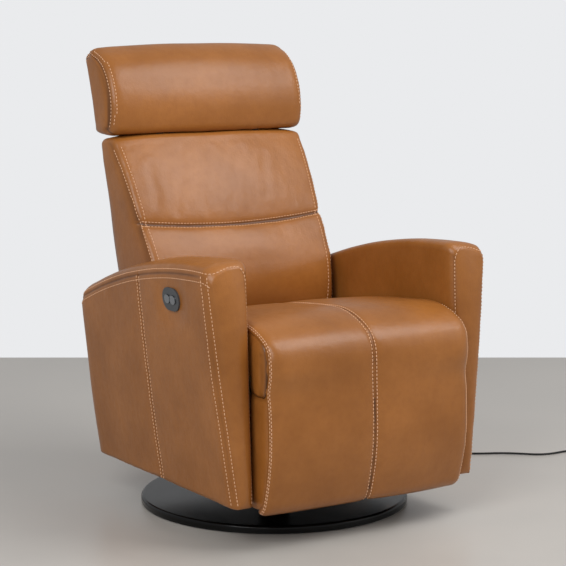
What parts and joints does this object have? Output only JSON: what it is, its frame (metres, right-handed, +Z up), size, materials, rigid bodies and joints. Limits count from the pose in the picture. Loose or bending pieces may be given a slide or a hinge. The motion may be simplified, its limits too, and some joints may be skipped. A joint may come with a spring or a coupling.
{
  "type": "recliner chair",
  "caption": "Leather power recliner on a round swivel base, with rolled seat nose, hanging footrest, padded arms, wedge back and tilting headrest",
  "frame": {"origin": "on the floor, under the swivel axis, at the middle of the base's foot pad", "axes": "+Z up along the swivel axis, the chair faces -Y, +X is the right arm seen from the front"},
  "size_m": [1.4526, 0.8858, 1.0845],
  "materials": {
    "base_disc": "black satin paint",
    "foot_pad": "matte",
    "swivel_steel": "black paint",
    "bolt_steel": "zinc plated",
    "washer_nylon": "nylon",
    "connector_plastic": "moulded",
    "lead_rubber": "satin",
    "plug_plastic": "moulded",
    "frame_steel": "black powder coat",
    "frame_wood": "plain plywood",
    "webbing": "woven elastic",
    "rear_panel_leather": "grained leather",
    "seat_leather": "grained leather",
    "arm_leather": "grained leather",
    "bezel_plastic": "satin",
    "dome_rubber": "silicone",
    "button_metal": "satin chrome",
    "rod_steel": "polished",
    "tube_aluminium": "drawn",
    "motor_plastic": "moulded",
    "footrest_leather": "grained leather",
    "guide_plastic": "acetal",
    "back_leather": "grained leather",
    "back_shell_leather": "grained leather",
    "headrest_leather": "grained leather"
  },
  "bodies": {
    "base": {"base_disc": "base_disc", "foot_pad": "foot_pad", "swivel_post": "swivel_steel", "flange_bolts": "bolt_steel", "thrust_washer": "washer_nylon", "rotary_connector": "connector_plastic", "inlet_box": "connector_plastic", "strain_relief": "lead_rubber", "power_lead": "lead_rubber", "lead_coil": "lead_rubber", "power_plug": "plug_plastic"},
    "chair": {"swivel_hub": "swivel_steel", "front_cross_tube": "frame_steel", "rear_cross_tube": "frame_steel", "left_side_plate": "frame_steel", "right_side_plate": "frame_steel", "seat_frame": "frame_wood", "seat_webbing": "webbing", "rear_panel": "rear_panel_leather", "seat_cushion": "seat_leather", "left_seat_hinge_bracket": "frame_steel", "right_seat_hinge_bracket": "frame_steel", "left_footrest_pin": "bolt_steel", "right_footrest_pin": "bolt_steel", "left_back_pin": "bolt_steel", "right_back_pin": "bolt_steel", "left_arm_pad": "arm_leather", "right_arm_pad": "arm_leather", "left_arm_board": "frame_wood", "right_arm_board": "frame_wood", "left_arm_bolts": "bolt_steel", "right_arm_bolts": "bolt_steel", "control_bezel": "bezel_plastic", "switch_box": "connector_plastic", "return_domes": "dome_rubber", "screw_tube": "tube_aluminium", "drive_motor": "motor_plastic", "motor_bracket": "frame_steel", "power_supply": "motor_plastic"},
    "footrest": {"footrest_pad": "footrest_leather", "footrest_board": "frame_wood", "left_footrest_hinge_arm": "frame_steel", "right_footrest_hinge_arm": "frame_steel", "crank_lug": "frame_steel"},
    "actuator": {"actuator_rod": "rod_steel"},
    "back": {"back_frame": "frame_wood", "back_webbing": "webbing", "post_guides": "guide_plastic", "left_back_plate": "frame_steel", "right_back_plate": "frame_steel", "back_cushion": "back_leather", "back_shell": "back_shell_leather"},
    "headrest_carrier": {"left_headrest_post": "rod_steel", "right_headrest_post": "rod_steel", "headrest_pins": "bolt_steel"},
    "headrest": {"headrest_plate": "frame_steel", "headrest_cushion": "headrest_leather"},
    "raise_button": {"raise_button": "button_metal"},
    "lower_button": {"lower_button": "button_metal"}
  },
  "joints": [
    {"name": "swivel", "type": "hinge", "parent": "base", "child": "chair", "pos_m": [0, 0, 0], "axis": [0, 0, 1], "continuous": true},
    {"name": "footrest_lift", "type": "hinge", "parent": "chair", "child": "footrest", "pos_m": [0, -0.38, 0.425], "axis": [-1, 0, 0], "range_deg": [0, 83]},
    {"name": "actuator_slide", "type": "slide", "parent": "chair", "child": "actuator", "axis": [0, -0.9973, 0.0732], "range_m": [0, 0.1754]},
    {"name": "back_recline", "type": "hinge", "parent": "chair", "child": "back", "pos_m": [0, 0.215, 0.43], "axis": [-1, 0, 0], "range_deg": [0, 32]},
    {"name": "headrest_height", "type": "slide", "parent": "back", "child": "headrest_carrier", "axis": [0, 0.2857, 0.9583], "range_m": [0, 0.06]},
    {"name": "headrest_tilt", "type": "hinge", "parent": "headrest_carrier", "child": "headrest", "pos_m": [0, 0.318, 0.866], "axis": [1, 0, 0], "range_deg": [0, 35]},
    {"name": "raise_press", "type": "slide", "parent": "chair", "child": "raise_button", "axis": [0.9947, 0, 0.103], "range_m": [0, 0.0015], "stiffness_N_per_m": 600, "springref_m": -0.001},
    {"name": "lower_press", "type": "slide", "parent": "chair", "child": "lower_button", "axis": [0.9947, 0, 0.103], "range_m": [0, 0.0015], "stiffness_N_per_m": 600, "springref_m": -0.001}
  ],
  "couplings": [
    {"joint": "actuator_slide", "follows": "footrest_lift", "m_per_rad": 0.12076}
  ]
}
